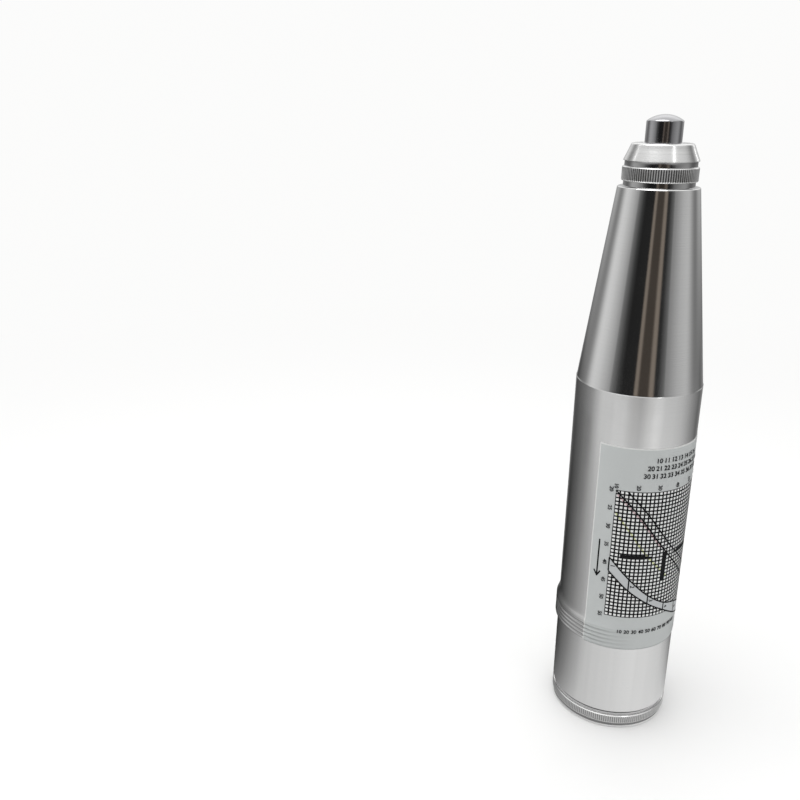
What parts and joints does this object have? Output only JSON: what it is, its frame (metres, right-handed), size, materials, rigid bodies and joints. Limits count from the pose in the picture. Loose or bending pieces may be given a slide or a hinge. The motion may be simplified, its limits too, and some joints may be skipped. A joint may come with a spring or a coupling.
{
  "type": "concrete test hammer",
  "caption": "Polished aluminium rebound hammer: tapered barrel with a knurled front cap, locked impact plunger, ridged grip band, chart label and a spring-driven hammer mass inside.",
  "frame": {"origin": "middle of the rear cap's flat base, on the barrel's axis", "axes": "+Z along the barrel towards the plunger's tip; -Y faces the picture's camera, with the chart label turned to its right; the scale window faces +X+Y and the push-button -X+Y"},
  "size_m": [0.0558, 0.0558, 0.276],
  "materials": {
    "polished_aluminium": "polished, with faint turning marks",
    "knurled_aluminium": "bright turned, straight knurled",
    "dark_steel": "hardened and polished",
    "bright_steel": "ground",
    "spring_steel": "drawn wire",
    "leaf_brass": "rolled strip",
    "felt": "pressed felt",
    "label_film": "printed film",
    "scale_face": "satin white",
    "clear_window": "clear",
    "rider_black": "moulded"
  },
  "bodies": {
    "housing": {"barrel_housing": "polished_aluminium", "chart_label": "label_film", "rear_cap": "knurled_aluminium", "trip_screw": "bright_steel", "trip_lock_nut": "bright_steel", "front_cap": "knurled_aluminium", "felt_washer": "felt", "two_part_ring": "leaf_brass", "guide_sleeve": "bright_steel", "scale_plate": "scale_face", "scale_window": "clear_window", "window_screws": "bright_steel", "rider_rod": "bright_steel", "button_bush": "knurled_aluminium", "button_spring": "spring_steel", "compression_spring": "spring_steel", "impact_spring": "spring_steel"},
    "plunger_assembly": {"impact_plunger": "dark_steel", "retaining_spring": "spring_steel", "guide_bar": "bright_steel", "guide_disk": "bright_steel", "bar_pin": "bright_steel", "pawl_pin": "bright_steel", "pawl_spring": "spring_steel"},
    "pawl_lever": {"pawl": "dark_steel"},
    "hammer": {"hammer_mass": "bright_steel"},
    "rider": {"rider_block": "rider_black", "rider_leaf": "leaf_brass"},
    "button": {"push_button": "bright_steel", "lock_pin": "bright_steel", "lock_pin_clip": "spring_steel"}
  },
  "joints": [
    {"name": "plunger_slide", "type": "slide", "parent": "housing", "child": "plunger_assembly", "axis": [0, 0, 1], "range_m": [0, 0.075], "deforming": ["compression_spring"]},
    {"name": "hammer_slide", "type": "slide", "parent": "housing", "child": "hammer", "axis": [0, 0, 1], "range_m": [-0.075, 0], "stiffness_N_per_m": 785, "deforming": ["impact_spring"]},
    {"name": "pawl_pivot", "type": "hinge", "parent": "plunger_assembly", "child": "pawl_lever", "pos_m": [-0.00849, -0.00849, 0.038], "axis": [0.7071, -0.7071, 0], "range_deg": [0, 8], "stiffness_Nm_per_rad": 0.05, "deforming": ["pawl_spring"]},
    {"name": "rider_slide", "type": "slide", "parent": "housing", "child": "rider", "axis": [0, 0, 1], "range_m": [-0.075, 0]},
    {"name": "button_press", "type": "slide", "parent": "housing", "child": "button", "axis": [-0.7071, 0.7071, 0], "range_m": [-0.0025, 0], "stiffness_N_per_m": 400, "deforming": ["button_spring"]}
  ]
}
